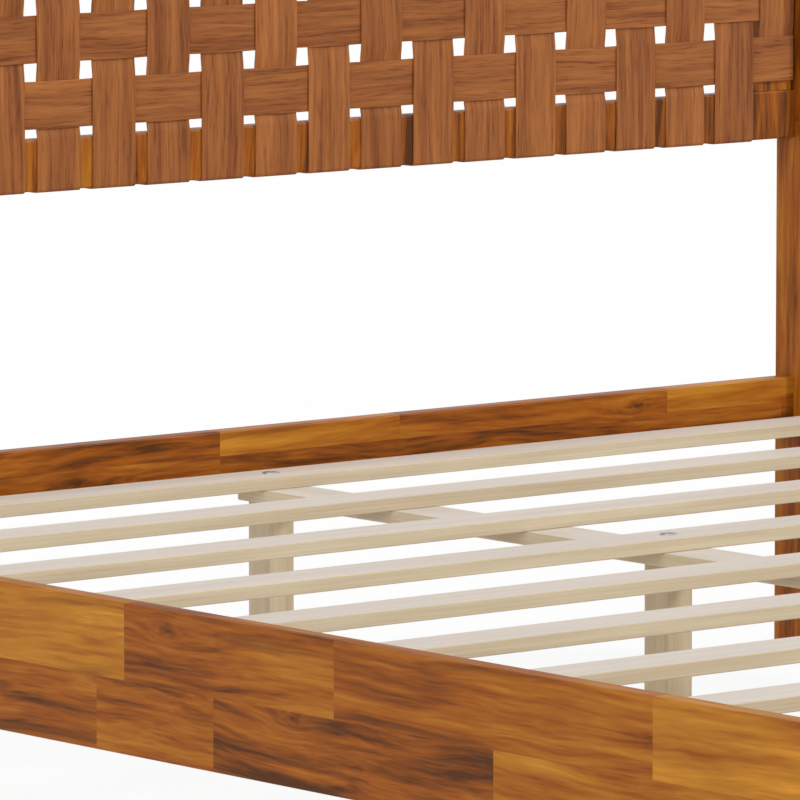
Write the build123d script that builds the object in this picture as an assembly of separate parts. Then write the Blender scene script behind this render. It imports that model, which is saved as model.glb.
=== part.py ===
"""King-size wooden bed with a woven headboard.

The bed is seen whole: two head posts carry a woven panel and a head rail, two
foot posts carry a foot rail, and two side rails join the ends with steel
corner brackets. Nine slats lie on cleats inside the side rails and on a flat
centre beam that stands on four legs. Millimetres, +Z up, +X across the bed,
+Y towards the head. The origin is on the floor under the middle of the bed.
"""

import os

from build123d import *

# Mattress and side rails
MATTRESS_WIDTH = 1930.0
MATTRESS_LENGTH = 2032.0
SIDE_SLACK = 2.0
END_SLACK = 28.5
RAIL_THICKNESS = 25.0
RAIL_TOP = 359.0
RAIL_HEIGHT = 161.0
RAIL_EASE = 2.5

# Posts
POST_WIDTH = 94.0
POST_DEPTH = 50.0
HEAD_POST_TOP = 1206.0
FOOT_POST_TOP = 366.0
POST_EASE = 2.5
POST_TOP_BEVEL = 2.0
GLIDE_HEIGHT = 3.0
GLIDE_RADIUS = 14.0
GLIDE_SIDES = 12

# Head rail and the rails of the woven panel
CROSS_RAIL_THICKNESS = 25.0
CROSS_RAIL_SETBACK = 14.0
HEAD_RAIL_TOP = 370.5
HEAD_RAIL_HEIGHT = 76.0
PANEL_RAIL_HEIGHT = 62.0
PANEL_BOTTOM = 679.0
PANEL_RAIL_EASE = 3.0

# Mortise and tenon joints
TENON_THICKNESS = 12.0
TENON_LENGTH = 32.0
TENON_SHOULDER = 8.0
TENON_ROOT = 1.0
GLUE_GAP = 0.15

# Woven strips
STRIP_THICKNESS = 1.7
LAYER_GAP = 0.1
UPRIGHT_COUNT = 22
UPRIGHT_WIDTH = 64.3
UPRIGHT_PITCH = 82.84
FIRST_UPRIGHT_INSET = 1.2
LAST_UPRIGHT_GAP = 12.0
END_UPRIGHT_INSET = 0.6
END_UPRIGHT_TRIM = 2.0
CROSSING_COUNT = 5
CROSSING_WIDTH = 57.0
CROSSING_PITCH = 78.6
CROSSING_CLEARANCE = 12.5
STRIP_TAIL = 45.0
BEND_MARGIN = 1.5
STRIP_INNER_BEVEL = 0.8
STRIP_OUTER_BEVEL = 2.0

# Stiles that the level strips wrap round
STILE_GAP = 4.0
STILE_WIDTH = 57.0
STILE_TENON_LENGTH = 14.0
STILE_TENON_WIDTH = 36.0
STILE_TENON_THICKNESS = 9.0
WRAP_SLACK = 0.3

# Slats, cleats, centre beam and its legs
SLAT_COUNT = 9
SLAT_WIDTH = 67.5
SLAT_THICKNESS = 15.8
SLAT_TOP = 321.0
SLAT_PITCH = 244.0
SLAT_END_GAP = 1.0
FIRST_SLAT_GAP = 0.5
SLAT_EASE = 1.2
CLEAT_SIZE = 25.0
CLEAT_END_GAP = 2.0
BEAM_WIDTH = 72.5
BEAM_THICKNESS = 16.0
BEAM_SETBACK = 14.6
LEG_SIZE = 40.0
LEG_EASE = 1.5
LEG_SLATS = (1, 4, 6, 9)

# Bolts through slat, beam and leg
SLAT_BOLT_RADIUS = 4.0
SLAT_BOLT_HEAD_RADIUS = 10.5
SLAT_BOLT_HEAD_HEIGHT = 2.2
SLAT_BOLT_LENGTH = 72.0
SOCKET_ACROSS_FLATS = 5.0
SOCKET_DEPTH = 1.6

# Corner brackets that join side rails to posts, and their bolts
BRACKET_THICKNESS = 3.0
BRACKET_HEIGHT = 62.0
BRACKET_BOTTOM = 212.0
BRACKET_RAIL_LEG = 64.0
BRACKET_POST_LEG = 50.0
BRACKET_CORNER = 6.0
BRACKET_BOLT_RADIUS = 3.0
BRACKET_BOLT_HEAD_RADIUS = 6.5
BRACKET_BOLT_HEAD_HEIGHT = 3.6
BRACKET_BOLT_LENGTH = 20.0
BRACKET_BOLT_EDGE = 14.0
BRACKET_BOLT_INSET = 20.0

# Bolt holes run out of the surface by the mouth and past the bolt's tip by the spare depth
BOLT_CLEARANCE = 0.2
HOLE_MOUTH = 1.0
HOLE_SPARE_DEPTH = 2.0
SHANK_SIDES = 8

# Places worked out from the driving dimensions
RAIL_INNER_X = MATTRESS_WIDTH / 2 + SIDE_SLACK
RAIL_OUTER_X = RAIL_INNER_X + RAIL_THICKNESS
POST_INNER_X = RAIL_OUTER_X - POST_WIDTH
HEAD_FACE_Y = MATTRESS_LENGTH / 2 + END_SLACK
HEAD_BACK_Y = HEAD_FACE_Y + POST_DEPTH
CROSS_RAIL_Y = HEAD_FACE_Y + CROSS_RAIL_SETBACK
CROSS_RAIL_BACK_Y = CROSS_RAIL_Y + CROSS_RAIL_THICKNESS
SLAT_BOTTOM = SLAT_TOP - SLAT_THICKNESS
FIRST_SLAT_Y = HEAD_FACE_Y - FIRST_SLAT_GAP
BEAM_BOTTOM = SLAT_BOTTOM - BEAM_THICKNESS
PANEL_LOWER_TOP = PANEL_BOTTOM + PANEL_RAIL_HEIGHT
FIRST_CROSSING_Z = PANEL_LOWER_TOP + CROSSING_CLEARANCE
LAST_CROSSING_TOP = FIRST_CROSSING_Z + (CROSSING_COUNT - 1) * CROSSING_PITCH + CROSSING_WIDTH
PANEL_UPPER_BOTTOM = LAST_CROSSING_TOP + CROSSING_CLEARANCE
PANEL_TOP = PANEL_UPPER_BOTTOM + PANEL_RAIL_HEIGHT
STILE_OUTER_X = POST_INNER_X - STILE_GAP

# The two layers that woven strips move between, by the depth of their front face
FRONT_LAYER_Y = CROSS_RAIL_Y - STRIP_THICKNESS
BACK_LAYER_Y = CROSS_RAIL_Y + LAYER_GAP
STILE_FRONT_Y = BACK_LAYER_Y + STRIP_THICKNESS
STILE_BACK_Y = CROSS_RAIL_BACK_Y - (STILE_FRONT_Y - CROSS_RAIL_Y)

UP = Vector(0, 0, 1)
ACROSS = Vector(1, 0, 0)
HEADWARD = Vector(0, 1, 0)


def block(low, high):
    """A square-edged block between two opposite corners."""
    size = [b - a for a, b in zip(low, high)]
    middle = [(a + b) / 2 for a, b in zip(low, high)]
    return Pos(*middle) * Box(*size)


def rounded(shape, radius, axis):
    """The shape with its long edges along one axis rounded over."""
    return fillet(shape.edges().filter_by(axis), radius)


def bevelled(shape, leg, axis):
    """The shape with its long edges along one axis broken by a small bevel."""
    return chamfer(shape.edges().filter_by(axis), leg)


def prism(profile, start, direction, length):
    """A straight bar of one section that starts at a point and runs along a direction."""
    return extrude(Plane(start, z_dir=direction) * profile, amount=length)


def shank(start, direction, radius, length):
    """A bolt's shank, or the hole for it: few sides, because it lies inside the wood."""
    return prism(RegularPolygon(radius, SHANK_SIDES), start, direction, length)


def to_left(shape):
    """A right-hand piece's twin on the left of the bed."""
    return mirror(shape, about=Plane.YZ)


def to_foot(shape):
    """A head-end piece's twin at the foot of the bed."""
    return mirror(shape, about=Plane.XZ)


def at_four_corners(shape):
    """A piece at the head's right corner and its twins at the other three."""
    pair = [shape, to_left(shape)]
    return pair + [to_foot(piece) for piece in pair]


def tenon(y, bottom, height, slack=0.0):
    """The tenon on a cross rail's right end, or with slack its mortise in the post."""
    half = TENON_THICKNESS / 2 + slack
    low = (POST_INNER_X - TENON_ROOT, y - half, bottom + TENON_SHOULDER - slack)
    high = (POST_INNER_X + TENON_LENGTH + slack, y + half, bottom + height - TENON_SHOULDER + slack)
    return block(low, high)


def cross_rail(low_y, bottom, height, ease):
    """A board between two posts, with a tenon at each end."""
    low = (-POST_INNER_X, low_y, bottom)
    high = (POST_INNER_X, low_y + CROSS_RAIL_THICKNESS, bottom + height)
    end = tenon(low_y + CROSS_RAIL_THICKNESS / 2, bottom, height)
    return rounded(block(low, high), ease, Axis.X) + end + to_left(end)


def post(face_y, back_y, top, mortises):
    """A right-hand post, with mortises for its cross rails given as (y, bottom, height)."""
    shape = block((POST_INNER_X, face_y, GLIDE_HEIGHT), (RAIL_OUTER_X, back_y, top))
    shape = rounded(shape, POST_EASE, Axis.Z)
    shape = chamfer(shape.faces().sort_by(Axis.Z)[-1].edges(), POST_TOP_BEVEL)
    return shape - [tenon(*mortise, GLUE_GAP) for mortise in mortises]


def side_rail():
    """The right-hand side rail, between the head post and the foot post."""
    low = (RAIL_INNER_X, -HEAD_FACE_Y, RAIL_TOP - RAIL_HEIGHT)
    return rounded(block(low, (RAIL_OUTER_X, HEAD_FACE_Y, RAIL_TOP)), RAIL_EASE, Axis.Y)


def bracket_bolt_places():
    """Start and direction of each bolt in the head's right corner: two in the rail, two in the post."""
    rail_side = RAIL_INNER_X - BRACKET_THICKNESS
    post_side = HEAD_FACE_Y - BRACKET_THICKNESS
    along_rail = HEAD_FACE_Y - BRACKET_RAIL_LEG + BRACKET_BOLT_INSET
    across_post = RAIL_INNER_X - BRACKET_POST_LEG + BRACKET_BOLT_INSET
    places = []
    for z in (BRACKET_BOTTOM + BRACKET_BOLT_EDGE, BRACKET_BOTTOM + BRACKET_HEIGHT - BRACKET_BOLT_EDGE):
        places.append((Vector(rail_side, along_rail, z), ACROSS))
        places.append((Vector(across_post, post_side, z), HEADWARD))
    return places


def bracket_holes():
    """The bolt holes of the head's right corner, through the bracket and into the wood."""
    radius = BRACKET_BOLT_RADIUS + BOLT_CLEARANCE
    length = HOLE_MOUTH + BRACKET_BOLT_LENGTH + HOLE_SPARE_DEPTH
    places = [(start - direction * HOLE_MOUTH, direction) for start, direction in bracket_bolt_places()]
    return [shank(mouth, direction, radius, length) for mouth, direction in places]


def corner_bracket():
    """An angle plate with clipped corners, at the head's right corner."""
    corner = (RAIL_INNER_X, HEAD_FACE_Y, BRACKET_BOTTOM + BRACKET_HEIGHT)
    rail_low = (RAIL_INNER_X - BRACKET_THICKNESS, HEAD_FACE_Y - BRACKET_RAIL_LEG, BRACKET_BOTTOM)
    post_low = (RAIL_INNER_X - BRACKET_POST_LEG, HEAD_FACE_Y - BRACKET_THICKNESS, BRACKET_BOTTOM)
    on_rail = block(rail_low, corner)
    on_post = block(post_low, corner)
    rail_end = on_rail.faces().sort_by(Axis.Y)[0].edges().filter_by(Axis.X)
    post_end = on_post.faces().sort_by(Axis.X)[0].edges().filter_by(Axis.Y)
    plate = chamfer(rail_end, BRACKET_CORNER) + chamfer(post_end, BRACKET_CORNER)
    bend = plate.edges().filter_by(Axis.Z).sort_by_distance(corner)[0]
    return chamfer(bend, BRACKET_THICKNESS) - bracket_holes()


def bracket_bolts():
    """The hexagon-head bolts of the head's right corner."""
    bolts = []
    for start, direction in bracket_bolt_places():
        head = prism(RegularPolygon(BRACKET_BOLT_HEAD_RADIUS, 6), start, -direction, BRACKET_BOLT_HEAD_HEIGHT)
        bolts.append(head + shank(start, direction, BRACKET_BOLT_RADIUS, BRACKET_BOLT_LENGTH))
    return bolts


def slat_y(number):
    """Where a slat's middle lies; slat 1 is at the head."""
    return FIRST_SLAT_Y - SLAT_WIDTH / 2 - (number - 1) * SLAT_PITCH


def slat_bolt(number):
    """A furniture bolt down through slat, beam and leg, with a wide low head and a hexagon socket."""
    seat = Vector(0, slat_y(number), SLAT_TOP)
    head = prism(Circle(SLAT_BOLT_HEAD_RADIUS), seat, UP, SLAT_BOLT_HEAD_HEIGHT)
    socket = RegularPolygon(SOCKET_ACROSS_FLATS / 2, 6, major_radius=False)
    head -= prism(socket, seat + UP * SLAT_BOLT_HEAD_HEIGHT, -UP, SOCKET_DEPTH)
    return head + shank(seat, -UP, SLAT_BOLT_RADIUS, SLAT_BOLT_LENGTH)


def slat_bolt_hole(number):
    """The clear hole for a slat bolt, through slat and beam and down into the leg."""
    top = Vector(0, slat_y(number), SLAT_TOP + HOLE_MOUTH)
    depth = HOLE_MOUTH + SLAT_BOLT_LENGTH + HOLE_SPARE_DEPTH
    return shank(top, -UP, SLAT_BOLT_RADIUS + BOLT_CLEARANCE, depth)


def slat(number):
    """A slat that runs from side rail to side rail, bored where it is bolted to a leg."""
    half_length = RAIL_INNER_X - SLAT_END_GAP
    y = slat_y(number)
    low = (-half_length, y - SLAT_WIDTH / 2, SLAT_BOTTOM)
    shape = bevelled(block(low, (half_length, y + SLAT_WIDTH / 2, SLAT_TOP)), SLAT_EASE, Axis.X)
    return shape - slat_bolt_hole(number) if number in LEG_SLATS else shape


def cleat():
    """The right-hand ledge that the slat ends lie on, glued to the side rail."""
    reach = HEAD_FACE_Y - CLEAT_END_GAP
    low = (RAIL_INNER_X - CLEAT_SIZE, -reach, SLAT_BOTTOM - CLEAT_SIZE)
    return bevelled(block(low, (RAIL_INNER_X, reach, SLAT_BOTTOM)), SLAT_EASE, Axis.Y)


def centre_beam():
    """The flat board under the middle of the slats."""
    head_end = FIRST_SLAT_Y - BEAM_SETBACK
    foot_end = slat_y(SLAT_COUNT) - SLAT_WIDTH / 2 + BEAM_SETBACK
    low = (-BEAM_WIDTH / 2, foot_end, BEAM_BOTTOM)
    shape = bevelled(block(low, (BEAM_WIDTH / 2, head_end, SLAT_BOTTOM)), SLAT_EASE, Axis.Y)
    return shape - [slat_bolt_hole(number) for number in LEG_SLATS]


def centre_leg(number):
    """A square leg under the beam at a bolted slat."""
    y = slat_y(number)
    half = LEG_SIZE / 2
    shape = block((-half, y - half, GLIDE_HEIGHT), (half, y + half, BEAM_BOTTOM))
    return bevelled(shape, LEG_EASE, Axis.Z) - slat_bolt_hole(number)


def floor_glides():
    """A round foot under each post and each centre leg."""
    post_x = (POST_INNER_X + RAIL_OUTER_X) / 2
    post_y = HEAD_FACE_Y + POST_DEPTH / 2
    places = [(x, y) for x in (-post_x, post_x) for y in (-post_y, post_y)]
    places += [(0, slat_y(number)) for number in LEG_SLATS]
    disc = RegularPolygon(GLIDE_RADIUS, GLIDE_SIDES)
    return [prism(disc, (x, y, 0), UP, GLIDE_HEIGHT) for x, y in places]


def stile():
    """The right-hand upright of the panel frame, with a stub tenon at each end."""
    low = (STILE_OUTER_X - STILE_WIDTH, STILE_FRONT_Y, PANEL_LOWER_TOP)
    shape = rounded(block(low, (STILE_OUTER_X, STILE_BACK_Y, PANEL_UPPER_BOTTOM)), PANEL_RAIL_EASE, Axis.Z)
    return shape + stile_tenons()


def stile_tenons(slack=0.0):
    """The right stile's stub tenons, or with slack their mortises in the panel rails."""
    x = STILE_OUTER_X - STILE_WIDTH / 2
    y = (STILE_FRONT_Y + STILE_BACK_Y) / 2
    half_x = STILE_TENON_WIDTH / 2 + slack
    half_y = STILE_TENON_THICKNESS / 2 + slack
    reach = STILE_TENON_LENGTH + slack
    ends = (
        (PANEL_LOWER_TOP - reach, PANEL_LOWER_TOP + TENON_ROOT),
        (PANEL_UPPER_BOTTOM - TENON_ROOT, PANEL_UPPER_BOTTOM + reach),
    )
    return [block((x - half_x, y - half_y, low), (x + half_x, y + half_y, high)) for low, high in ends]


def panel_rail(bottom):
    """The lower or upper rail of the woven panel, with mortises for both stiles."""
    rail = cross_rail(CROSS_RAIL_Y, bottom, PANEL_RAIL_HEIGHT, PANEL_RAIL_EASE)
    mortises = stile_tenons(GLUE_GAP)
    return rail - mortises - [to_left(mortise) for mortise in mortises]


def upright_span(index):
    """Left and right edge of an upright strip; the first and last are trimmed to the stiles."""
    edge = STILE_OUTER_X - END_UPRIGHT_INSET
    left = -POST_INNER_X + FIRST_UPRIGHT_INSET + index * UPRIGHT_PITCH
    right = left + UPRIGHT_WIDTH
    if index == 0:
        return -edge, right
    if index == UPRIGHT_COUNT - 1:
        return left - UPRIGHT_PITCH + UPRIGHT_WIDTH + LAST_UPRIGHT_GAP, edge
    return left, right


def crossing_span(row):
    """Lower and upper edge of a level strip, counted from the bottom."""
    low = FIRST_CROSSING_Z + row * CROSSING_PITCH
    return low, low + CROSSING_WIDTH


def upright_in_front(index, row):
    """Plain weave: whether an upright strip passes over a level one."""
    return (index + row) % 2 == 0


def wave(spans, layers, start, end):
    """Front face of a strip that changes layer in the gaps between its crossings.

    spans are the crossings along the strip and layers the depth at each. The strip starts and ends
    at the (distance, depth) points given. Returns the points where it bends, ends included.
    """
    points = [start]
    reach, depth = start
    for (low, high), layer in zip(spans, layers):
        if layer != depth:
            points += [(reach + BEND_MARGIN, depth), (low - BEND_MARGIN, layer)]
            depth = layer
        reach = high
    if depth != end[1]:
        points += [(reach + BEND_MARGIN, depth), (end[0] - BEND_MARGIN, end[1])]
    return points + [end]


def wrapped_face(front, back_depth, wrap_low, wrap_high):
    """Long section of a strip that is wrapped round both ends of its frame, as (depth, distance).

    front is its front run, back_depth the depth of the frame's back face, and wrap_low and wrap_high
    are where the strip's outer faces lie past the frame's ends. Both tails end on the back.
    """
    thick = STRIP_THICKNESS
    back = back_depth + thick
    low_tail = wrap_low + thick + STRIP_TAIL
    high_tail = wrap_high - thick - STRIP_TAIL
    bends = front[1:-1]
    outer = [(back, low_tail), (back, wrap_low), (front[0][1], wrap_low)]
    outer += [(depth, distance) for distance, depth in bends]
    outer += [(front[-1][1], wrap_high), (back, wrap_high), (back, high_tail)]
    inner = [(back_depth, high_tail), (back_depth, wrap_high - thick)]
    inner += [(front[-1][1] + thick, wrap_high - thick)]
    inner += [(depth + thick, distance) for distance, depth in reversed(bends)]
    inner += [(front[0][1] + thick, wrap_low + thick)]
    inner += [(back_depth, wrap_low + thick), (back_depth, low_tail)]
    face = make_face(Polyline(*outer, *inner, close=True))
    for outline, bevel in ((outer, STRIP_OUTER_BEVEL), (inner, STRIP_INNER_BEVEL)):
        corners = outline[1:3] + outline[-3:-1]
        vertices = [face.vertices().sort_by_distance(corner)[0] for corner in corners]
        face = chamfer(vertices, bevel)
    return face


def flat_face(front):
    """Long section of a strip that isn't wrapped round anything, as (depth, distance)."""
    outline = [(depth, distance) for distance, depth in front]
    outline += [(depth + STRIP_THICKNESS, distance) for distance, depth in reversed(front)]
    return make_face(Polyline(*outline, close=True))


def upright_strip(index):
    """A woven strip that runs from under the lower rail to over the upper one.

    The first and last lie on the stiles instead, and end behind or at the outermost level strips.
    """
    left, right = upright_span(index)
    rows = range(CROSSING_COUNT)
    layers = [FRONT_LAYER_Y if upright_in_front(index, row) else BACK_LAYER_Y for row in rows]
    spans = [crossing_span(row) for row in rows]
    if index in (0, UPRIGHT_COUNT - 1):
        start = (FIRST_CROSSING_Z + END_UPRIGHT_TRIM, layers[0])
        end = (LAST_CROSSING_TOP - END_UPRIGHT_TRIM, layers[-1])
        face = flat_face(wave(spans, layers, start, end))
    else:
        start, end = [(z, FRONT_LAYER_Y) for z in (PANEL_LOWER_TOP, PANEL_UPPER_BOTTOM)]
        wraps = (PANEL_BOTTOM - STRIP_THICKNESS, PANEL_TOP + STRIP_THICKNESS)
        face = wrapped_face(wave(spans, layers, start, end), CROSS_RAIL_BACK_Y, *wraps)
    return extrude(Plane.YZ.offset(left) * face, amount=right - left)


def level_strip(row):
    """A woven strip that runs from round the left stile to round the right one."""
    indexes = range(UPRIGHT_COUNT)
    layers = [BACK_LAYER_Y if upright_in_front(index, row) else FRONT_LAYER_Y for index in indexes]
    spans = [upright_span(index) for index in indexes]
    wrap = STILE_OUTER_X + WRAP_SLACK + STRIP_THICKNESS
    front = wave(spans, layers, (-wrap, layers[0]), (wrap, layers[-1]))
    face = wrapped_face(front, STILE_BACK_Y, -wrap, wrap)
    low, high = crossing_span(row)
    on_side = Plane(origin=(0, 0, high), x_dir=(0, 1, 0), z_dir=(0, 0, -1))
    return extrude(on_side * face, amount=high - low)


def save(name, *solids):
    """Writes one named piece, or one group of like pieces, as a STEP file."""
    shape = solids[0] if len(solids) == 1 else Compound(children=list(solids))
    export_step(shape, f"parts/{name}.step")


def save_pair(name, right):
    """Writes a right-hand piece and its left-hand twin."""
    save(f"{name}_right", right)
    save(f"{name}_left", to_left(right))


def save_frame():
    """Posts, rails, cleats, and the brackets and bolts that join them."""
    head_rail_bottom = HEAD_RAIL_TOP - HEAD_RAIL_HEIGHT
    foot_rail_bottom = RAIL_TOP - RAIL_HEIGHT
    middle_y = CROSS_RAIL_Y + CROSS_RAIL_THICKNESS / 2
    head_mortises = [
        (middle_y, head_rail_bottom, HEAD_RAIL_HEIGHT),
        (middle_y, PANEL_BOTTOM, PANEL_RAIL_HEIGHT),
        (middle_y, PANEL_UPPER_BOTTOM, PANEL_RAIL_HEIGHT),
    ]
    foot_mortises = [(-middle_y, foot_rail_bottom, RAIL_HEIGHT)]
    head_holes = bracket_holes()
    foot_holes = [to_foot(hole) for hole in head_holes]

    save_pair("head_post", post(HEAD_FACE_Y, HEAD_BACK_Y, HEAD_POST_TOP, head_mortises) - head_holes)
    save_pair("foot_post", post(-HEAD_BACK_Y, -HEAD_FACE_Y, FOOT_POST_TOP, foot_mortises) - foot_holes)
    save("head_rail", cross_rail(CROSS_RAIL_Y, head_rail_bottom, HEAD_RAIL_HEIGHT, RAIL_EASE))
    save("foot_rail", cross_rail(-CROSS_RAIL_BACK_Y, foot_rail_bottom, RAIL_HEIGHT, RAIL_EASE))
    save_pair("side_rail", side_rail() - head_holes - foot_holes)
    save_pair("side_cleat", cleat())
    save("corner_brackets", *at_four_corners(corner_bracket()))
    save("bracket_bolts", *[twin for bolt in bracket_bolts() for twin in at_four_corners(bolt)])


def save_panel():
    """The headboard's frame and its woven strips."""
    save("headboard_lower_rail", panel_rail(PANEL_BOTTOM))
    save("headboard_upper_rail", panel_rail(PANEL_UPPER_BOTTOM))
    save_pair("headboard_stile", stile())
    for index in range(UPRIGHT_COUNT):
        save(f"upright_strip_{index + 1:02d}", upright_strip(index))
    for row in range(CROSSING_COUNT):
        save(f"level_strip_{row + 1}", level_strip(row))


def save_deck():
    """Slats, centre beam, its legs and bolts, and every floor glide."""
    for number in range(1, SLAT_COUNT + 1):
        save(f"slat_{number}", slat(number))
    save("centre_beam", centre_beam())
    for place, number in enumerate(LEG_SLATS, start=1):
        save(f"centre_leg_{place}", centre_leg(number))
    save("slat_bolts", *[slat_bolt(number) for number in LEG_SLATS])
    save("floor_glides", *floor_glides())


def main():
    os.makedirs("parts", exist_ok=True)
    save_frame()
    save_panel()
    save_deck()


main()
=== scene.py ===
"""Wooden bed with a woven headboard: its finishes and fine shapes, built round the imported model.

Posts and rails are laminated from short blocks of acacia, the headboard is woven from wood veneer,
and the slats, beam and legs are pale poplar. Lengths are metres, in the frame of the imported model:
+X across the bed, +Y towards the head, +Z up, with the origin on the floor under its middle.
"""

import math
import random
from collections import namedtuple

import bmesh
import bpy
from bpy.props import FloatProperty
from bpy.props import FloatVectorProperty
from bpy.props import IntProperty
from bpy.props import PointerProperty
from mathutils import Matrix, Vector


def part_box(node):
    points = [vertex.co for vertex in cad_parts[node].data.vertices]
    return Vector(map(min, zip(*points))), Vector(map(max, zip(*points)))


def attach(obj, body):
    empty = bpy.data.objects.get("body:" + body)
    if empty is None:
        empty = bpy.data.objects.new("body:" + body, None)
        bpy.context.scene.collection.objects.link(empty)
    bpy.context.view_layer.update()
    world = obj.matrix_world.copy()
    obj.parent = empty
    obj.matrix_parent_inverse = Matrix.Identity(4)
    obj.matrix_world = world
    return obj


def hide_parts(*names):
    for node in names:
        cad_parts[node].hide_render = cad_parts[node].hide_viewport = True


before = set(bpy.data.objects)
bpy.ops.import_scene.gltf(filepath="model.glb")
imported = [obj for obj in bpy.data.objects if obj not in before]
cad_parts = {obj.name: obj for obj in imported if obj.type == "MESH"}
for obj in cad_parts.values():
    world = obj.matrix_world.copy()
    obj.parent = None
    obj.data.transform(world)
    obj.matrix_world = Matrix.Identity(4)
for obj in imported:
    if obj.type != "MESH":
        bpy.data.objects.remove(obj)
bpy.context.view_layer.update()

bl_info = {
    "name": "Woven Headboard Bed",
    "version": (1, 0, 0),
    "blender": (4, 5, 0),
    "location": "3D View > Sidebar > Bed",
    "description": "Builds the finishes and fine shapes of a wooden bed with a woven headboard",
    "category": "Add Mesh",
}

MM = 0.001
ALONG_X, ALONG_Y, ALONG_Z = 0, 1, 2

# The woven panel, in millimetres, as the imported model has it
STRIP_THICKNESS = 1.7
UPRIGHT_COUNT = 22
UPRIGHT_WIDTH = 64.3
UPRIGHT_PITCH = 82.84
FIRST_UPRIGHT_INSET = 1.2
LAST_UPRIGHT_GAP = 12.0
END_UPRIGHT_INSET = 4.6
END_UPRIGHT_TRIM = 2.0
CROSSING_COUNT = 5
CROSSING_WIDTH = 57.0
CROSSING_PITCH = 78.6
CROSSING_CLEARANCE = 12.5
LAYER_STEP = 1.8
PANEL_RAIL_EASE = 3.0
STRIP_TAIL = 45.0
PANEL_RAIL_HEIGHT = 62.0
WRAP_SLACK = 0.3

# The corner brackets, in millimetres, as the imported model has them
BRACKET_THICKNESS = 3.0
BRACKET_RAIL_LEG = 64.0
BRACKET_POST_LEG = 50.0
BRACKET_BOLT_EDGE = 14.0
BRACKET_BOLT_INSET = 20.0

# How golden the woods are, from 0, dark brown, to 1, and how often a block has a knot
ACACIA_TONES = (0.3, 0.38, 0.45, 0.52, 0.62, 0.8)
KNOT_CHANCE = 0.35
VENEER_TONES = (0.4, 0.62)

# How much of the longest block a row may start with, and how many unlike figures a block may have
FIRST_BLOCK_SHARES = (0.3, 1.0)
FIGURES = 60.0

# The veneers that the poplar is laminated from, and how pale its slats and its legs are
VENEER_THICKNESS = 2.6 * MM
SLAT_TONE = 0.6
LEG_TONE = 0.4

# Edges that turn by more than this stay crisp
CREASE_ANGLE = math.radians(40)

# Staples, in millimetres and degrees: each is set into a tail at 0.8 of the tail's length, a quarter
# of the way in from its sides
STAPLE_SIZE = (11.0, 0.8, 1.2)
STAPLE_EASE = 0.3
STAPLE_DEPTH = 0.8 * STRIP_TAIL
STAPLE_SHARES = (0.25, 0.75)
STAPLE_LEAN = 12.0

# The camera of the photograph: its place in metres, its lens in millimetres, and how many degrees
# it looks down and to the right of the bed's length
CAMERA_PLACE = (-6.23831, -6.82520, 1.57170)
CAMERA_LENS = 373.758
CAMERA_TILT = 6.61436
CAMERA_HEADING = 39.4214

# The floor's reach each way, in metres, how much of its own paint the camera sees in it, and how
# strong the room's light is where it falls on the bed
FLOOR_REACH = 70.0
FLOOR_PAINT_SEEN = 0.11
ROOM_LIGHT = 0.65

SLAT_COUNT = 9
LEG_SLATS = (1, 4, 6, 9)


def linear_colour(code):
    """A hex sRGB colour as the linear red, green and blue that shaders and lamps work in."""
    channels = [int(code[place : place + 2], 16) / 255 for place in (1, 3, 5)]
    return tuple(c / 12.92 if c <= 0.04045 else ((c + 0.055) / 1.055) ** 2.4 for c in channels)


def finish_colour(name, description, code):
    """A colour that a user can change, with a hex sRGB colour as its default."""
    return FloatVectorProperty(
        name=name,
        description=description,
        default=linear_colour(code),
        subtype="COLOR",
        min=0.0,
        max=1.0,
    )


class BedSizes(bpy.types.PropertyGroup):
    """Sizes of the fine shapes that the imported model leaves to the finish."""

    board_ease: FloatProperty(
        name="Board Edge",
        description="Radius that the long edges of posts and rails are eased to",
        default=2.5 * MM,
        min=0.5 * MM,
        max=6.0 * MM,
        unit="LENGTH",
    )
    post_top_ease: FloatProperty(
        name="Post Top",
        description="Radius round the top of each post",
        default=2.0 * MM,
        min=0.5 * MM,
        max=2.4 * MM,
        unit="LENGTH",
    )
    block_shortest: FloatProperty(
        name="Shortest Block",
        description="Shortest block of wood that a board is laminated from",
        default=0.30,
        min=0.1,
        max=1.0,
        unit="LENGTH",
    )
    block_longest: FloatProperty(
        name="Longest Block",
        description="Longest block of wood that a board is laminated from",
        default=0.62,
        min=0.2,
        max=1.5,
        unit="LENGTH",
    )
    strip_bow: FloatProperty(
        name="Strip Bow",
        description="How far a woven strip swells outwards where it passes over another",
        default=0.5 * MM,
        min=0.0,
        max=2.0 * MM,
        unit="LENGTH",
    )
    strip_edge: FloatProperty(
        name="Strip Edge",
        description="Radius of a woven strip's long edges",
        default=0.45 * MM,
        min=0.1 * MM,
        max=0.8 * MM,
        unit="LENGTH",
    )
    seed: IntProperty(
        name="Wood Choice",
        description="Picks which blocks and veneers the bed is made from",
        default=7,
        min=0,
    )


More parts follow.
